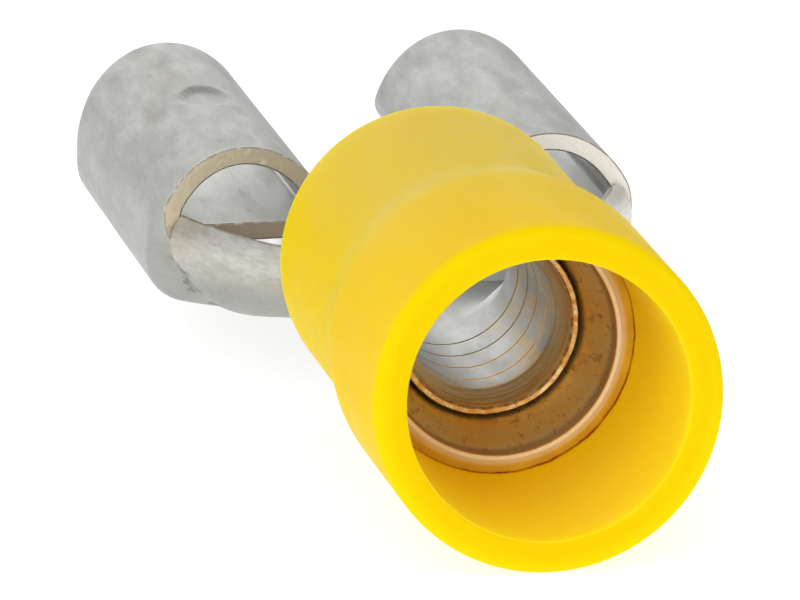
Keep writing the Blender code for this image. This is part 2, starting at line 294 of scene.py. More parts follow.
def make_insulating_sleeve(material):
    bore = BARREL_RADIUS + CRIMP_WALL + 2 * FIT_GAP
    rim_centre = (RIM_OUTER_ROUND, MOUTH_RADIUS - RIM_OUTER_ROUND)
    inner_centre = (RIM_INNER_ROUND, FUNNEL_MOUTH_RADIUS + RIM_INNER_ROUND)
    rear_centre = (SLEEVE_LENGTH - REAR_ROUND, SLEEVE_REAR_RADIUS - REAR_ROUND)
    seat = BELL_START + BELL_LIP_BEVEL + BELL_STRAIGHT
    throat = (BELL_START, FUNNEL_THROAT_RADIUS)
    shoulder_start = (SHOULDER_START, MOUTH_RADIUS)
    shoulder_end = (SHOULDER_END, SLEEVE_REAR_RADIUS)
    outline = arc(rim_centre, RIM_OUTER_ROUND, 180, 90, steps=10)
    outline += straight((RIM_OUTER_ROUND, MOUTH_RADIUS), shoulder_start, steps=14)
    outline.append(shoulder_start)
    outline += ease(shoulder_start, shoulder_end, steps=24)
    outline += straight(shoulder_end, (rear_centre[0], SLEEVE_REAR_RADIUS), steps=10)
    outline += arc(rear_centre, REAR_ROUND, 90, 0, steps=8)
    outline.append((SLEEVE_LENGTH, bore))
    outline.append((BELL_END, bore))
    outline += ease((BELL_END, bore), (seat, FUNNEL_THROAT_RADIUS), steps=8)
    outline.append(throat)
    outline += straight(throat, (RIM_INNER_ROUND, FUNNEL_MOUTH_RADIUS), steps=16)
    outline += arc(inner_centre, RIM_INNER_ROUND, 270, 180, steps=8)

    def bend(y, radius, angle):
        if radius < FUNNEL_THROAT_RADIUS - FIT_GAP:
            return 0.0, 0.0
        x, z = radius * math.sin(angle), radius * math.cos(angle)
        lump = SLEEVE_WAVE * ripple(x, y, z, size=4.5, seed=3.0)
        lump += SLEEVE_GRAIN * ripple(x, y, z, size=1.3, seed=8.0)
        if radius < FUNNEL_MOUTH_RADIUS + FIT_GAP:
            return 0.0, abs(lump)
        return 0.0, min(0.0, lump - SLEEVE_WAVE)

    bm = turned_mesh(outline, SLEEVE_SIDES, bend)
    return finish_piece(bm, "vinyl_sleeve", [material], "yellow_vinyl", "insulating_sleeve")


def make_crimp_sleeve(material):
    inner = BARREL_RADIUS + FIT_GAP
    outer = inner + CRIMP_WALL
    lip_end = BELL_START + BELL_LIP_BEVEL
    lip_radius = BELL_INNER_RADIUS + LIP_EDGE_RISE
    outline = [(BELL_START + LIP_EDGE / 2, BELL_INNER_RADIUS + LIP_EDGE_RISE / 4)]
    outline.append((BELL_START, lip_radius))
    outline.append((BELL_START, lip_radius + LIP_FACE / 2))
    outline.append((BELL_START + LIP_EDGE, lip_radius + LIP_FACE))
    outline += straight(outline[-1], (lip_end, BELL_LIP_RADIUS), steps=4)
    outline.append((lip_end, BELL_LIP_RADIUS))
    outline.append((lip_end + BELL_STRAIGHT, BELL_LIP_RADIUS))
    outline += ease((lip_end + BELL_STRAIGHT, BELL_LIP_RADIUS), (BELL_END, outer), steps=12)
    outline.append((CRIMP_SLEEVE_END, outer))
    outline.append((CRIMP_SLEEVE_END, inner))
    outline.append((BELL_INNER_END, inner))
    outline += ease((BELL_INNER_END, inner), (BELL_START + LIP_EDGE, BELL_INNER_RADIUS), steps=24)

    def bend(y, radius, angle):
        if y > BELL_INNER_END:
            return 0.0, 0.0
        x, z = radius * math.sin(angle), radius * math.cos(angle)
        fade = smooth_step((BELL_INNER_END - y) / BELL_STRAIGHT)
        if radius < BELL_INNER_RADIUS + LIP_EDGE:
            lump = BELL_WAVE * ripple(x, y, z, size=0.9, seed=5.0)
            lump += BELL_GRAIN * ripple(x, y, z, size=0.25, seed=2.0)
            return 0.0, fade * lump
        if y < lip_end:
            return LIP_GRAIN * ripple(x, y, z, size=0.5, seed=1.0), 0.0
        return 0.0, 0.0

    bm = turned_mesh(outline, TUBE_SIDES, bend)
    return finish_piece(bm, "brass_crimp_sleeve", [material], "brass_tube", "crimp_sleeve")


# ---------------------------------------------------------------- the folded strip

def barrel_path():
    """Right half of the barrel's outer circle, from the bottom round to the seam."""
    wing_angle = math.degrees(math.acos(-WING_ROOT_HEIGHT / BARREL_RADIUS))
    edge_angle = math.degrees(EDGE_BREAK / BARREL_RADIUS)
    seam_angle = 180.0 - math.degrees(SEAM_HALF_GAP / BARREL_RADIUS)
    upper_steps = BARREL_COLUMNS - WING_COLUMNS - 2
    path = arc((0, 0), BARREL_RADIUS, -90, wing_angle - edge_angle - 90, WING_COLUMNS - 1)
    path += arc((0, 0), BARREL_RADIUS, wing_angle - 90, seam_angle - edge_angle - 90, upper_steps)
    path.append(on_circle((0, 0), BARREL_RADIUS, seam_angle - 90))
    return path


def receptacle_path():
    """Right half of the receptacle's outer face: floor, corner, ear, and the ear's flap."""
    floor_z = -BARREL_RADIUS
    corner_x = HALF_WIDTH - CORNER_RADIUS
    corner_centre = (corner_x, floor_z + CORNER_RADIUS)
    path = [(corner_x * i / FLOOR_COLUMNS, floor_z) for i in range(FLOOR_COLUMNS)]
    path += arc(corner_centre, CORNER_RADIUS, -90, CORNER_END_DEGREES, CORNER_COLUMNS)
    ear_half_width = HALF_WIDTH - EAR_CENTRE_X
    foot = (HALF_WIDTH, floor_z + CORNER_RADIUS)
    path += [foot] + straight(foot, (HALF_WIDTH, EAR_CENTRE_Z), steps=4)
    for step in range(EAR_STEPS + 1):
        angle = math.radians(EAR_ARC_DEGREES * step / EAR_STEPS)
        x = EAR_CENTRE_X + ear_half_width * math.cos(angle)
        path.append((x, EAR_CENTRE_Z + EAR_HALF_HEIGHT * math.sin(angle)))
    last_angle = math.radians(EAR_ARC_DEGREES)
    along = Vector((-ear_half_width * math.sin(last_angle), EAR_HALF_HEIGHT * math.cos(last_angle)))
    along.normalize()
    bend_centre = (path[-1][0] - BEND_RADIUS * along.y, path[-1][1] + BEND_RADIUS * along.x)
    bend_from = math.degrees(math.atan2(-along.x, along.y))
    path += arc(bend_centre, BEND_RADIUS, bend_from % 360, 270, BEND_STEPS)[1:]
    flap_z = path[-1][1]
    path += straight(path[-1], (FLAP_END_X - EDGE_BREAK, flap_z), FLAP_STEPS)
    path += [(FLAP_END_X - EDGE_BREAK, flap_z), (FLAP_END_X, flap_z)]
    return path


def drawn_in(receptacle, y, side):
    """The receptacle's path at a station, with its near end drawn in towards the transition."""
    amount = 1.0 - smooth_step((y - RECEPTACLE_START) / (WAIST_END - RECEPTACLE_START))
    amount *= WAIST_SHARE[side]
    corner_x = HALF_WIDTH - CORNER_RADIUS
    path = []
    for x, z in receptacle:
        pull = 0.0
        if z < WAIST_TOP and (x > EAR_CENTRE_X or z < -BARREL_RADIUS + SHEET):
            depth = WAIST_TOP - z
            pull = WAIST_SLOPE * depth * depth / (depth + WAIST_SOFTNESS) * amount * min(1.0, x / corner_x)
        path.append((x - pull, z))
    return path


def wing_path(receptacle, side):
    """The transition's section where it ends: floor and corner, then a wall that curls in on top."""
    path = drawn_in(receptacle, RECEPTACLE_START, side)[:SLIT_COLUMN + 1]
    handles = [Vector(point) for point in (path[-1], *WING_HANDLES[side])]
    steps = WING_COLUMNS - SLIT_COLUMN - 1
    for step in range(1, steps + 1):
        path.append(tuple(on_curve(handles, step / (steps + WING_EDGE_SHARE))))
    path.append(tuple(on_curve(handles, 1.0)))
    return path


def spread(y, column):
    """How far a column of the transition has opened, 0 at the barrel and 1 where it ends."""
    run = (y - BARREL_END) / (WING_END - BARREL_END)
    top = 0.5 * (run + math.sin(0.5 * math.pi * run))
    bottom = smooth_step((y - BOTTOM_SPREAD_START) / (WING_END - BOTTOM_SPREAD_START))
    share = smooth_step((column - FLOOR_COLUMNS) / (WING_COLUMNS - FLOOR_COLUMNS))
    return bottom + (top - bottom) * share


def trough_path(barrel, wing, y):
    path = []
    for column, (start, end) in enumerate(zip(barrel, wing)):
        share = spread(y, column)
        path.append((start[0] + (end[0] - start[0]) * share, start[1] + (end[1] - start[1]) * share))
    return path


def terminal_rows(side):
    """One side's stations, as (y, outer points, thickness, columns joined to the next row)."""
    barrel = barrel_path()
    receptacle = receptacle_path()
    wing = wing_path(receptacle, side)
    last = len(barrel) - 1
    rows = [(BARREL_START, barrel, ENTRY_EDGE + 2 * EDGE_BREAK, last)]
    for step in range(1, ENTRY_ROWS + 1):
        share = step / ENTRY_ROWS
        y = BARREL_START + EDGE_BREAK + (ENTRY_DEPTH - EDGE_BREAK) * share
        thickness = ENTRY_EDGE + EDGE_BREAK + (SHEET - ENTRY_EDGE - EDGE_BREAK) * share ** ENTRY_CURVE
        ridge = ENTRY_RIDGE * (1 - share) if step % ENTRY_RIDGE_ROWS == 1 else 0.0
        rows.append((y, barrel, thickness + ridge, last))
    for number in range(GROOVE_COUNT):
        y = GROOVE_FIRST + number * GROOVE_PITCH
        for away, depth in GROOVE_PROFILE:
            rows.append((y + away * GROOVE_HALF_WIDTH, barrel, SHEET - GROOVE_DEPTH * depth, last))
    rows.append((BARREL_END - EDGE_BREAK, barrel, SHEET, last))
    rows.append((BARREL_END, barrel, SHEET, WING_COLUMNS))
    for step in range(1, TROUGH_ROWS + 1):
        y = BARREL_END + (WING_END - EDGE_BREAK - BARREL_END) * step / TROUGH_ROWS
        rows.append((y, trough_path(barrel, wing, y), SHEET, WING_COLUMNS))
    rows.append((WING_END, trough_path(barrel, wing, WING_END), SHEET, SLIT_COLUMN))
    last = len(receptacle) - 1
    rows.append((RECEPTACLE_START, drawn_in(receptacle, RECEPTACLE_START, side), SHEET, last))
    first = RECEPTACLE_START + EDGE_BREAK
    for step in range(WAIST_ROWS + 1):
        y = first + (WAIST_END - first) * step / WAIST_ROWS
        rows.append((y, drawn_in(receptacle, y, side), SHEET, last))
    lead_in_start = TOTAL_LENGTH - LEAD_IN_LENGTH
    for step in range(1, RECEPTACLE_ROWS + 1):
        y = WAIST_END + (lead_in_start - WAIST_END) * step / RECEPTACLE_ROWS
        rows.append((y, receptacle, SHEET, last))
    rows.append((TOTAL_LENGTH - EDGE_BREAK, receptacle, SHEET, last))
    rows.append((TOTAL_LENGTH, receptacle, SHEET, 0))
    return rows


def lead_in(y, column, last_column):
    """Depth taken off the tab's side of the sheet at the far edge: (outer face, inner face)."""
    depth = LEAD_IN_DEPTH * max(0.0, (y - TOTAL_LENGTH + LEAD_IN_LENGTH) / LEAD_IN_LENGTH)
    if abs(column) < FLOOR_COLUMNS:
        return 0.0, depth
    if abs(column) >= last_column - FLAP_COLUMNS:
        return depth, 0.0
    return 0.0, 0.0


def shape_outer(x, y, z):
    """Small dents and waves on the outer face, as a move along its normal."""
    move = SHEET_WAVE * ripple(x, y, z, size=2.2, seed=4.0)
    move += SHEET_GRAIN * ripple(x, y, z, size=0.6, seed=7.0)
    distance = math.hypot(x, y - DIMPLE_Y) / DIMPLE_RADIUS
    if z < DIMPLE_BELOW and distance < 1.0:
        move -= DIMPLE_HEIGHT * (1.0 - smooth_step(distance))
    distance = math.hypot((x - DIE_MARK_X) / DIE_MARK_HALF_WIDTH, (y - DIE_MARK_Y) / DIE_MARK_HALF_LENGTH)
    if z > DIE_MARK_ABOVE:
        move -= DIE_MARK_DEPTH * (1.0 - smooth_step((distance - 1.0 + DIE_MARK_WALL) / DIE_MARK_WALL))
    return min(0.0, move - SHEET_SET_BACK)


def grid_points(rows, left_rows):
    """Every row's outer points by column; the columns left of the middle are negative."""
    points = []
    for (y, path, _, _), left_row in zip(rows, left_rows):
        row = {-column: Vector((-x, y, z)) for column, (x, z) in enumerate(left_row[1])}
        row.update({column: Vector((x, y, z)) for column, (x, z) in enumerate(path)})
        points.append(row)
    return points


def is_cell(cells, i, j):
    """Whether there is sheet between rows i and i + 1 and columns j and j + 1."""
    return 0 <= i < len(cells) and -cells[i] <= j < cells[i]


def cell_corners(i, j):
    return (i, j), (i, j + 1), (i + 1, j + 1), (i + 1, j)


def grid_normals(points, cells):
    """The outward direction at every point, from the cells round it."""
    normals = [{column: Vector() for column in row} for row in points]
    for i, half in enumerate(cells):
        for j in range(-half, half):
            corners = cell_corners(i, j)
            a, b, c, d = (points[row][column] for row, column in corners)
            normal = (d - b).cross(c - a)
            normal.normalize()
            for row, column in corners:
                normals[row][column] += normal
    return normals


def add_sheet_vertices(bm, rows, points, cells):
    """Both faces' vertices, as one {column: vertex} for each row."""
    bare = bm.verts.layers.float.new("bare")
    inner_light = bm.verts.layers.float.new("inner_light")
    normals = grid_normals(points, cells)
    outer, inner = [], []
    for i, (y, path, thickness, _) in enumerate(rows):
        outer_row, inner_row = {}, {}
        for j, point in points[i].items():
            around = [is_cell(cells, row, column) for row in (i - 1, i) for column in (j - 1, j)]
            if not any(around):
                continue
            normal = normals[i][j].normalized()
            off_outer, off_inner = lead_in(y, j, len(path) - 1)
            if not all(around):
                off_outer += EDGE_BREAK
                off_inner += EDGE_BREAK
            off_outer -= shape_outer(*point)
            jag = entry_jag(point, i)
            outer_point = point - normal * off_outer
            inner_point = point - normal * (thickness - off_inner)
            outer_row[j] = bm.verts.new(place(outer_point.x, outer_point.y + jag, outer_point.z))
            inner_row[j] = bm.verts.new(place(inner_point.x, inner_point.y + jag, inner_point.z))
            inner_row[j][bare] = bareness(inner_point)
            inner_row[j][inner_light] = inner_light_share(inner_point)
        outer.append(outer_row)
        inner.append(inner_row)
    return outer, inner


def add_sheet_faces(bm, cells, outer, inner):
    """Both faces of every cell, and a wall where the cell has no neighbour."""
    def wall(first, second):
        face = bm.faces.new((
            outer[first[0]][first[1]], outer[second[0]][second[1]],
            inner[second[0]][second[1]], inner[first[0]][first[1]],
        ))
        face.material_index = CUT_EDGE

    for i, half in enumerate(cells):
        for j in range(-half, half):
            corners = cell_corners(i, j)
            skins = [
                bm.faces.new([outer[row][column] for row, column in corners]),
                bm.faces.new([inner[row][column] for row, column in reversed(corners)]),
            ]
            neighbours = (
                ((i - 1, j), (i, j), (i, j + 1)),
                ((i + 1, j), (i + 1, j), (i + 1, j + 1)),
                ((i, j - 1), (i, j), (i + 1, j)),
                ((i, j + 1), (i, j + 1), (i + 1, j + 1)),
            )
            for neighbour, first, second in neighbours:
                if not is_cell(cells, *neighbour):
                    wall(first, second)
                    for skin in skins:
                        skin.material_index = CORNER


def make_terminal(materials):
    rows = terminal_rows(1)
    cells = [row[3] for row in rows]
    points = grid_points(rows, terminal_rows(-1))
    bm = bmesh.new()
    outer, inner = add_sheet_vertices(bm, rows, points, cells)
    add_sheet_faces(bm, cells, outer, inner)
    return finish_piece(bm, "tinned_strip", materials, "tinned_brass", "tinned_terminal")


def inner_light_share(point):
    """How much painted light an inner face gets: inner faces are painted lighter, and the roll that a tab
    never touches is the brightest.
    """
    if point.y < RECEPTACLE_START + EDGE_BREAK:
        return LIT_TROUGH
    roll = smooth_step((abs(point.x) - LIT_ROLL_START) / LIT_ROLL_FADE)
    return LIT_SLOT + (1.0 - LIT_SLOT) * roll


def entry_jag(point, row):
    """How far a point of the barrel's sheared entry stands back: the edge is a little ragged."""
    if row >= ENTRY_JAG_ROWS:
        return 0.0
    ragged = 0.5 + ripple(point.x, 0.0, point.z, size=0.40, seed=6.0)
    ragged += 0.8 * ripple(point.x, 0.0, point.z, size=0.14, seed=9.0)
    return ENTRY_JAG * max(0.0, ragged) * (1.0 - row / ENTRY_JAG_ROWS)


def bareness(point):
    """How much brass shows through the tin on an inner face, from 0 to 1."""
    if point.y >= GROOVE_FIRST + GROOVE_COUNT * GROOVE_PITCH:
        return 0.0
    value = 1.0 - smooth_step((point.y - BARREL_START - WORN_ENTRY) / WORN_FADE)
    for number in range(GROOVE_COUNT):
        away = abs(point.y - GROOVE_FIRST - number * GROOVE_PITCH)
        if away < GROOVE_HALF_WIDTH:
            value = 1.0
    return max(value, WORN_SIDE * smooth_step(point.x - WORN_SIDE_START))


# ---------------------------------------------------------------- materials

# Colours, as linear red, green and blue
VINYL = (0.78, 0.50, 0.002)
VINYL_DEEP = (0.75, 0.465, 0.004)
VINYL_GRAIN = (0.77, 0.57, 0.02)
VINYL_TOP_SHEEN = (0.74, 0.49, 0.06)
VINYL_RIM = (0.77, 0.515, 0.002)
VINYL_FUNNEL_LIT = (1.0, 0.65, 0.012)
VINYL_FUNNEL_LIT_GRAIN = (1.0, 0.68, 0.03)
VINYL_GAP_SHADE = (0.50, 0.10, 0.008)
BRASS = (0.99, 0.74, 0.34)
BRASS_LIGHT = (1.0, 0.86, 0.46)
BRASS_SPECK = (0.48, 0.28, 0.12)
BRASS_GLINT = (0.98, 0.80, 0.48)
BRASS_RING = (1.0, 0.92, 0.62)
BRASS_LIP_HIGHLIGHT = (1.0, 1.0, 0.88)
BRASS_BEVEL_REFLECTION = (1.0, 0.84, 0.09)
BRASS_SHADE_BEHIND_LIP = (0.42, 0.25, 0.10)
TIN = (0.35, 0.355, 0.335)
TIN_LIGHT = (0.41, 0.41, 0.39)
TIN_STAIN = (0.30, 0.295, 0.24)
TIN_STREAK = (0.50, 0.50, 0.48)
TIN_PATCH = (0.34, 0.335, 0.27)
TIN_PIT = (0.22, 0.22, 0.19)
TIN_GLINT = (0.52, 0.52, 0.50)
TIN_BURNISHED_HIGHLIGHT = (0.60, 0.60, 0.55)
TIN_SCRAPED = (0.46, 0.45, 0.40)
TIN_HIGHLIGHT_RIGHT = (0.88, 0.87, 0.83)
TIN_TAN = (0.46, 0.38, 0.27)
TIN_INSIDE_LIT = (0.95, 0.95, 0.93)
TIN_SLIT_DARK = (0.13, 0.12, 0.08)
WORN = (0.90, 0.58, 0.24)
WORN_LIGHT = (1.0, 0.90, 0.56)
EDGE = (0.58, 0.53, 0.42)
EDGE_LIGHT = (0.86, 0.85, 0.80)
EDGE_WING_SHADE = (0.20, 0.185, 0.14)
EDGE_FLAP_SHADE = (0.50, 0.42, 0.34)
EDGE_ENTRY = (0.75, 0.50, 0.20)
ENTRY_GLINT = (1.0, 0.92, 0.75)
ROLLED_SHADE = (0.34, 0.31, 0.25)
ROLLED_LIGHT = (0.66, 0.63, 0.56)
ROLLED_ENTRY = (0.70, 0.46, 0.18)
FLOOR = (0.48, 0.48, 0.48)
FLOOR_LIGHT = (0.52, 0.52, 0.52)


class Graph:
    """A material's node tree, with short ways to add and join nodes.

    Its coordinates are the script's millimetres: Y is a station, X and Z are from the barrel's axis.
    """

    def __init__(self, name, **values):
        self.material = bpy.data.materials.new(name)
        self.material.use_nodes = True
        self.tree = self.material.node_tree
        self.shader = self.tree.nodes["Principled BSDF"]
        for key, value in values.items():
            self.shader.inputs[key.replace("_", " ")].default_value = value
        where = self.tree.nodes.new("ShaderNodeTexCoord")
        scale = self.tree.nodes.new("ShaderNodeMapping")
        scale.inputs["Location"].default_value = tuple(-ORIGIN / MM)
        scale.inputs["Scale"].default_value = (1.0 / MM,) * 3
        self.join(where.outputs["Object"], scale.inputs["Vector"])
        self.place = scale.outputs["Vector"]

    def join(self, source, target):
        self.tree.links.new(source, target)

    def give(self, target, value):
        if hasattr(value, "is_linked"):
            self.join(value, target)
        else:
            target.default_value = value

    def axis(self, name):
        split = self.tree.nodes.new("ShaderNodeSeparateXYZ")
        self.join(self.place, split.inputs[0])
        return split.outputs[name]

    def noise(self, scale, detail=4.0, rough=0.55, stretch=(1.0, 0.28, 1.0), shift=0.0):
        """Noise whose lumps are about 1/scale millimetres across, drawn out along the part's length."""
        node = self.tree.nodes.new("ShaderNodeTexNoise")
        node.inputs["Scale"].default_value = scale
        node.inputs["Detail"].default_value = detail
        node.inputs["Roughness"].default_value = rough
        mapping = self.tree.nodes.new("ShaderNodeMapping")
        mapping.inputs["Scale"].default_value = stretch
        mapping.inputs["Location"].default_value = (shift, shift, shift)
        self.join(self.place, mapping.inputs["Vector"])
        self.join(mapping.outputs["Vector"], node.inputs["Vector"])
        return node.outputs["Fac"]

    def ramp(self, value, low, high, start=0.0, end=1.0):
        node = self.tree.nodes.new("ShaderNodeMapRange")
        node.interpolation_type = "SMOOTHSTEP"
        self.join(value, node.inputs["Value"])
        node.inputs["From Min"].default_value = low
        node.inputs["From Max"].default_value = high
        node.inputs["To Min"].default_value = start
        node.inputs["To Max"].default_value = end
        return node.outputs["Result"]

    def math(self, kind, first, second=0.0):
        node = self.tree.nodes.new("ShaderNodeMath")
        node.operation = kind
        self.give(node.inputs[0], first)
        self.give(node.inputs[1], second)
        return node.outputs[0]

    def product(self, result, *others):
        for other in others:
            result = self.math("MULTIPLY", result, other)
        return result

    def complement(self, value):
        """One minus the value."""
        return self.math("SUBTRACT", 1.0, value)

    def mix(self, share, first, second):
        node = self.tree.nodes.new("ShaderNodeMix")
        node.data_type = "RGBA"
        self.give(node.inputs[0], share)
        for socket, colour in ((node.inputs[6], first), (node.inputs[7], second)):
            self.give(socket, (*colour, 1.0) if isinstance(colour, tuple) else colour)
        return node.outputs[2]

    def attribute(self, name):
        node = self.tree.nodes.new("ShaderNodeAttribute")
        node.attribute_name = name
        return node.outputs["Fac"]

    def radius(self):
        """Distance from the barrel's axis."""
        squares = [self.math("POWER", self.axis(name), 2.0) for name in ("X", "Z")]
        return self.math("SQRT", self.math("ADD", *squares))

    def bump(self, height, depth_mm, strength=1.0):
        node = self.tree.nodes.new("ShaderNodeBump")
        node.inputs["Strength"].default_value = strength
        node.inputs["Distance"].default_value = depth_mm * MM
        self.join(height, node.inputs["Height"])
        self.join(node.outputs["Normal"], self.shader.inputs["Normal"])

    def set(self, name, value):
        self.join(value, self.shader.inputs[name])


def vinyl_material():
    g = Graph(
        "yellow_vinyl", Metallic=0.0, Specular_IOR_Level=0.01,
        Subsurface_Weight=0.85, Subsurface_Scale=2.6 * MM, Subsurface_Radius=(1.0, 0.75, 0.08),
    )
    station, radius = g.axis("Y"), g.radius()
    cloud = g.noise(0.45, detail=3.0)
    grain = g.noise(5.0, detail=6.0, rough=0.65)
    grainy = g.ramp(grain, 0.5, 0.75, 0.0, 0.25)
    colour = g.mix(g.ramp(cloud, 0.35, 0.65), VINYL, VINYL_DEEP)
    colour = g.mix(grainy, colour, VINYL_GRAIN)
    # painted reflection: the top of the sleeve, away from the mouth, is painted paler as a painted sheen
    # of light from above
    high = g.product(g.ramp(g.axis("Z"), 1.2, 3.4), g.ramp(station, 1.0, 9.0))
    colour = g.mix(g.product(high, 0.7), colour, VINYL_TOP_SHEEN)
    colour = g.mix(g.ramp(station, 0.40, 0.15), colour, VINYL_RIM)
    # painted light: the funnel's inner wall is painted brighter and more orange than the outside, standing
    # in for light let through the vinyl
    lit_funnel = g.ramp(radius, FUNNEL_MOUTH_RADIUS + 0.06, FUNNEL_MOUTH_RADIUS + 0.02)
    colour = g.mix(lit_funnel, colour, g.mix(grainy, VINYL_FUNNEL_LIT, VINYL_FUNNEL_LIT_GRAIN))
    # a thin, broken dark red-brown line of painted shade in the gap where the throat meets the lip of the
    # crimp sleeve
    ragged = g.noise(2.6, detail=5.0, rough=0.7, shift=4.0)
    wavy = g.math("ADD", station, g.ramp(ragged, 0.3, 0.7, -0.05, 0.05))
    away = g.math("ABSOLUTE", g.math("SUBTRACT", wavy, BELL_START + 0.13))
    near = g.complement(g.ramp(away, 0.05, 0.11))
    throat = g.ramp(radius, FUNNEL_THROAT_RADIUS + 0.05, FUNNEL_THROAT_RADIUS + 0.12, 1.0, 0.0)
    broken = g.ramp(g.noise(1.4, detail=3.0, shift=9.0), 0.3, 0.6, 0.45, 1.0)
    colour = g.mix(g.product(near, throat, broken), colour, VINYL_GAP_SHADE)
    g.set("Base Color", colour)
    g.set("Roughness", g.ramp(g.noise(1.6, detail=5.0), 0.3, 0.7, 0.36, 0.48))
    g.bump(g.noise(7.0, detail=5.0, rough=0.6), 0.006, strength=0.5)
    return g.material


def brass_material():
    g = Graph("brass_tube", Metallic=1.0, Specular_IOR_Level=0.15)
    station, radius = g.axis("Y"), g.radius()
    cloud = g.noise(1.1, detail=6.0, rough=0.65)
    speck = g.noise(6.0, detail=6.0, rough=0.75)
    colour = g.mix(g.ramp(cloud, 0.35, 0.65), BRASS, BRASS_LIGHT)
    colour = g.mix(g.ramp(speck, 0.54, 0.64, 0.0, 0.8), colour, BRASS_SPECK)
    colour = g.mix(g.ramp(speck, 0.42, 0.32, 0.0, 0.6), colour, BRASS_GLINT)
    drawn = g.noise(2.0, detail=5.0, rough=0.7, stretch=(0.5, 1.5, 0.5), shift=5.0)
    colour = g.mix(g.product(g.ramp(drawn, 0.35, 0.65), 0.35), colour, BRASS_RING)
    # the lip's inner face carries a painted highlight and its bevel a painted reflection of the yellow
    # vinyl, made less metallic so these show; the wall just behind it is darkened with painted shade
    front = g.ramp(station, BELL_START + 0.40, BELL_START + 0.30)
    lip = g.product(front, g.ramp(radius, BELL_INNER_RADIUS + 0.01, BELL_INNER_RADIUS + 0.05))
    face_end = BELL_INNER_RADIUS + LIP_EDGE_RISE + LIP_FACE
    lip_highlight_and_reflection = g.mix(g.ramp(radius, face_end - 0.02, face_end + 0.10), BRASS_LIP_HIGHLIGHT, BRASS_BEVEL_REFLECTION)
    colour = g.mix(lip, colour, lip_highlight_and_reflection)
    # painted shade on the bell's inner wall just behind the lip
    shade_behind_lip = g.product(g.ramp(station, BELL_START + 0.55, BELL_START + 0.25), g.complement(lip))
    colour = g.mix(g.product(shade_behind_lip, 0.75), colour, BRASS_SHADE_BEHIND_LIP)
    g.set("Base Color", colour)
    g.set("Metallic", g.complement(g.product(lip, 0.92)))
    g.set("Roughness", g.ramp(g.math("ADD", cloud, lip), 0.3, 1.5, 0.50, 0.26))
    g.bump(g.noise(12.0, detail=6.0, rough=0.7), 0.012, strength=0.7)
    return g.material


def tin_material():
    g = Graph("tinned_brass", Metallic=0.92)
    station, height = g.axis("Y"), g.axis("Z")
    cloud = g.noise(0.42, detail=5.0, rough=0.6)
    spot = g.noise(1.7, detail=6.0, rough=0.65, shift=3.0)
    fine = g.noise(8.0, detail=5.0, rough=0.75)
    patch = g.noise(0.7, detail=4.0, rough=0.6, shift=12.0)
    streak = g.noise(2.4, detail=4.0, rough=0.6, stretch=(3.5, 0.25, 3.5), shift=7.0)
    colour = g.mix(g.ramp(cloud, 0.3, 0.7), TIN, TIN_LIGHT)
    colour = g.mix(g.ramp(spot, 0.55, 0.75, 0.0, 0.35), colour, TIN_STAIN)
    colour = g.mix(g.ramp(streak, 0.60, 0.75, 0.0, 0.25), colour, TIN_STREAK)
    colour = g.mix(g.ramp(patch, 0.54, 0.68, 0.0, 0.6), colour, TIN_PATCH)
    colour = g.mix(g.ramp(fine, 0.56, 0.68, 0.0, 0.35), colour, TIN_PIT)
    colour = g.mix(g.ramp(fine, 0.44, 0.34, 0.0, 0.30), colour, TIN_GLINT)
    # the pressed transition is burnished and also painted lighter with a painted highlight, brightest at
    # its right, and warmer low down and at its far end
    after_barrel = g.ramp(station, BARREL_END - 0.05, BARREL_END + 0.95)
    before_ears = g.ramp(station, RECEPTACLE_START + 0.15, RECEPTACLE_START - 0.05)
    worked = g.product(after_barrel, before_ears, g.ramp(height, -1.5, -0.5))
    far_end = g.ramp(station, WING_END - 1.48, WING_END - 0.28)
    warm = g.math("MAXIMUM", far_end, g.ramp(height, -0.6, -1.1))
    warm = g.product(worked, warm, g.ramp(spot, 0.35, 0.6))
    scrape = g.noise(2.2, detail=7.0, rough=0.72, stretch=(1.0, 0.4, 1.6), shift=21.0)
    scraped_and_highlight = g.mix(g.ramp(scrape, 0.40, 0.62), TIN_BURNISHED_HIGHLIGHT, TIN_SCRAPED)
    scraped_and_highlight = g.mix(g.ramp(g.axis("X"), 4.0, 4.8, 0.0, 0.7), scraped_and_highlight, TIN_HIGHLIGHT_RIGHT)
    colour = g.mix(g.product(worked, 0.85), colour, scraped_and_highlight)
    colour = g.mix(g.product(warm, 0.55), colour, TIN_TAN)
    # painted light: the inner faces of the barrel and the ears are painted lighter, standing in for light
    # that reaches inside them
    inner_light = g.attribute("inner_light")
    colour = g.mix(inner_light, colour, TIN_INSIDE_LIT)
    # brass shows where the tin is worn off the barrel's bore
    ring = g.noise(3.0, detail=4.0, rough=0.6, stretch=(0.3, 7.0, 0.3), shift=2.0)
    worn = g.math("ADD", g.attribute("bare"), g.ramp(spot, 0.3, 0.7, -0.25, 0.15))
    colour = g.mix(g.ramp(worn, 0.15, 0.75), colour, g.mix(g.ramp(ring, 0.4, 0.6), WORN, WORN_LIGHT))
    # a ragged patch is painted dark at the foot of the slit between the transition and each ear
    away = g.math("ABSOLUTE", g.math("SUBTRACT", station, 0.5 * (WING_END + RECEPTACLE_START)))
    outboard = g.ramp(g.math("ABSOLUTE", g.axis("X")), 2.5, 3.5)
    foot = g.product(g.ramp(away, 0.65, 0.30), outboard, g.ramp(height, -0.7, -1.1))
    ragged = g.noise(2.4, detail=6.0, rough=0.7, stretch=(1.0, 0.6, 1.0), shift=31.0)
    colour = g.mix(g.product(foot, g.ramp(ragged, 0.47, 0.55), 0.75), colour, TIN_SLIT_DARK)
    g.set("Base Color", colour)
    smoother = g.product(g.math("ADD", worked, inner_light), -0.25)
    g.set("Roughness", g.ramp(g.math("ADD", spot, smoother), 0.1, 0.8, 0.32, 0.52))
    rough = g.math("ADD", g.noise(7.0, detail=6.0, rough=0.7), g.product(streak, 0.6))
    g.bump(g.product(rough, g.math("ADD", 1.0, g.product(worked, 1.5))), 0.012, strength=0.6)
    return g.material


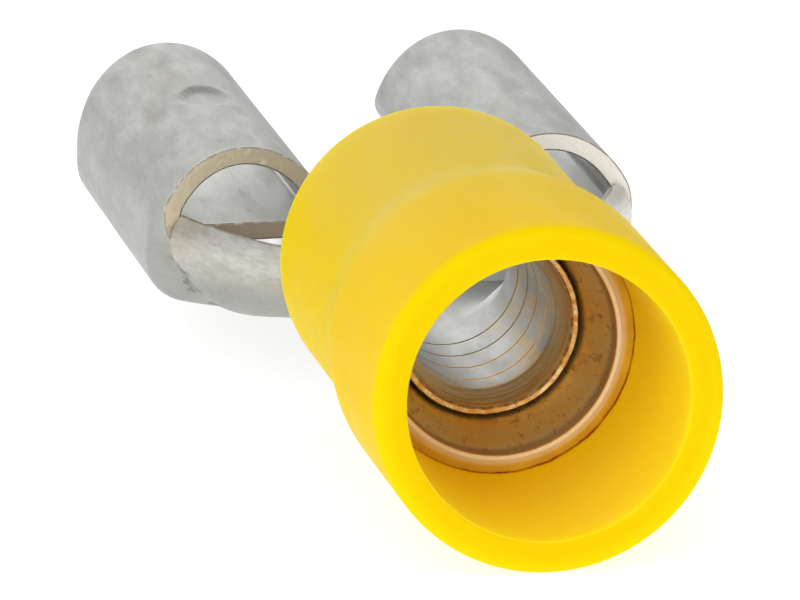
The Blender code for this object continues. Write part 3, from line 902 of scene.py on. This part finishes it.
def cut_edge_material():
    g = Graph("sheared_edge", Metallic=0.85)
    station = g.axis("Y")
    smear = g.noise(3.2, detail=6.0, rough=0.7)
    across = g.ramp(g.axis("X"), -1.0, 3.0)
    share = g.math("ADD", g.ramp(smear, 0.35, 0.75, 0.0, 0.6), g.product(across, 0.75))
    colour = g.mix(g.ramp(share, 0.2, 0.9), EDGE, EDGE_LIGHT)
    # painted shade: the cut edges before the ears, the wing's top edge among them, are painted dark
    colour = g.mix(g.ramp(station, WING_END - 0.3, WING_END - 0.6), colour, EDGE_WING_SHADE)
    # painted shade: the ears' cut edges below the axis are painted a darker brown-grey
    flap = g.product(g.ramp(g.axis("Z"), 0.05, -0.05), g.ramp(station, WING_END - 0.1, WING_END))
    colour = g.mix(flap, colour, EDGE_FLAP_SHADE)
    entry = g.ramp(station, BARREL_START + 0.3, BARREL_START + 0.1)
    colour = g.mix(entry, colour, g.mix(g.ramp(smear, 0.45, 0.60), EDGE_ENTRY, ENTRY_GLINT))
    g.set("Base Color", colour)
    g.set("Roughness", g.ramp(smear, 0.3, 0.7, 0.42, 0.56))
    g.bump(g.noise(9.0, detail=6.0, rough=0.7), 0.02, strength=0.7)
    return g.material


def corner_material():
    g = Graph("edge_break_shade", Metallic=0.9)
    smear = g.noise(5.0, detail=6.0, rough=0.7)
    # painted shade: the broken corners along the cut edges are painted dark as shade on the rounded edges,
    # with lighter random smears
    colour = g.mix(g.ramp(smear, 0.45, 0.70), ROLLED_SHADE, ROLLED_LIGHT)
    entry = g.ramp(g.axis("Y"), BARREL_START + 0.3, BARREL_START + 0.1)
    colour = g.mix(entry, colour, g.mix(g.ramp(smear, 0.45, 0.60), ROLLED_ENTRY, ENTRY_GLINT))
    g.set("Base Color", colour)
    g.set("Roughness", g.ramp(smear, 0.3, 0.7, 0.35, 0.5))
    return g.material


def floor_material():
    g = Graph("pale_floor", Metallic=0.0, Emission_Color=(1.0, 1.0, 1.0, 1.0), Emission_Strength=0.72)
    g.set("Base Color", g.mix(g.ramp(g.noise(0.02, detail=3.0), 0.3, 0.7), FLOOR, FLOOR_LIGHT))
    g.set("Roughness", g.ramp(g.noise(0.5), 0.3, 0.7, 0.82, 0.9))
    return g.material


# ---------------------------------------------------------------- stage, light and camera

FLOOR_REACH = 600.0
WORLD_STRENGTH = 0.72
# (name, azimuth, elevation, distance, diameter, power)
LIGHTS = (
    ("key", -40.0, 32.0, 300.0, 200.0, 210.0),
    ("fill", 45.0, 25.0, 340.0, 220.0, 50.0),
    ("front", -22.0, 20.0, 300.0, 100.0, 140.0),
    ("back", 182.0, 10.0, 300.0, 220.0, 100.0),
)
CAMERA_AZIMUTH = -10.11
CAMERA_ELEVATION = 13.27
CAMERA_ROLL = -0.45
CAMERA_DISTANCE = 270.0
CAMERA_LENS = 540.0
SENSOR_WIDTH = 36.0
AIM = (-2.17, 6.58, 0.89)


def make_stage():
    mesh = bpy.data.meshes.new("floor")
    bm = bmesh.new()
    reach = FLOOR_REACH * MM
    corners = ((-reach, -reach), (reach, -reach), (reach, reach), (-reach, reach))
    bm.faces.new([bm.verts.new((x, y, cad_low.z)) for x, y in corners])
    bm.to_mesh(mesh)
    bm.free()
    floor = bpy.data.objects.new("floor", mesh)
    floor.data.materials.append(floor_material())
    bpy.context.scene.collection.objects.link(floor)


def direction(azimuth, elevation):
    """Unit vector from the object towards that azimuth and elevation; azimuth 0 is towards -Y."""
    a, e = math.radians(azimuth), math.radians(elevation)
    return Vector((math.sin(a) * math.cos(e), -math.cos(a) * math.cos(e), math.sin(e)))


def add_light(name, azimuth, elevation, distance, diameter, power):
    """A soft round panel that faces the object; lengths in millimetres, power in milliwatts."""
    data = bpy.data.lights.new(name, "AREA")
    data.shape = "DISK"
    data.size = diameter * MM
    data.energy = power / 1000.0
    light = bpy.data.objects.new(name, data)
    towards = direction(azimuth, elevation)
    light.location = place(*AIM) + towards * distance * MM
    light.rotation_mode = "QUATERNION"
    light.rotation_quaternion = towards.to_track_quat("Z", "Y")
    bpy.context.scene.collection.objects.link(light)


def make_light():
    world = bpy.data.worlds.new("soft_studio")
    world.use_nodes = True
    background = world.node_tree.nodes["Background"]
    background.inputs["Color"].default_value = (1.0, 1.0, 1.0, 1.0)
    background.inputs["Strength"].default_value = WORLD_STRENGTH
    bpy.context.scene.world = world
    for light in LIGHTS:
        add_light(*light)


def make_camera():
    data = bpy.data.cameras.new("camera")
    data.lens = CAMERA_LENS
    data.sensor_width = SENSOR_WIDTH
    data.clip_start = CAMERA_DISTANCE * MM / 10
    data.clip_end = CAMERA_DISTANCE * MM * 10
    camera = bpy.data.objects.new("camera", data)
    towards = direction(CAMERA_AZIMUTH, CAMERA_ELEVATION)
    turn = towards.to_track_quat("Z", "Y").to_matrix().to_4x4()
    roll = Matrix.Rotation(math.radians(CAMERA_ROLL), 4, "Z")
    camera.matrix_world = Matrix.Translation(place(*AIM) + towards * CAMERA_DISTANCE * MM) @ turn @ roll
    bpy.context.scene.collection.objects.link(camera)
    bpy.context.scene.camera = camera


def main():
    make_insulating_sleeve(vinyl_material())
    make_crimp_sleeve(brass_material())
    make_terminal([tin_material(), cut_edge_material(), corner_material()])
    make_stage()
    make_light()
    make_camera()
    bpy.context.scene.view_settings.view_transform = "Standard"
    bpy.context.view_layer.update()


main()
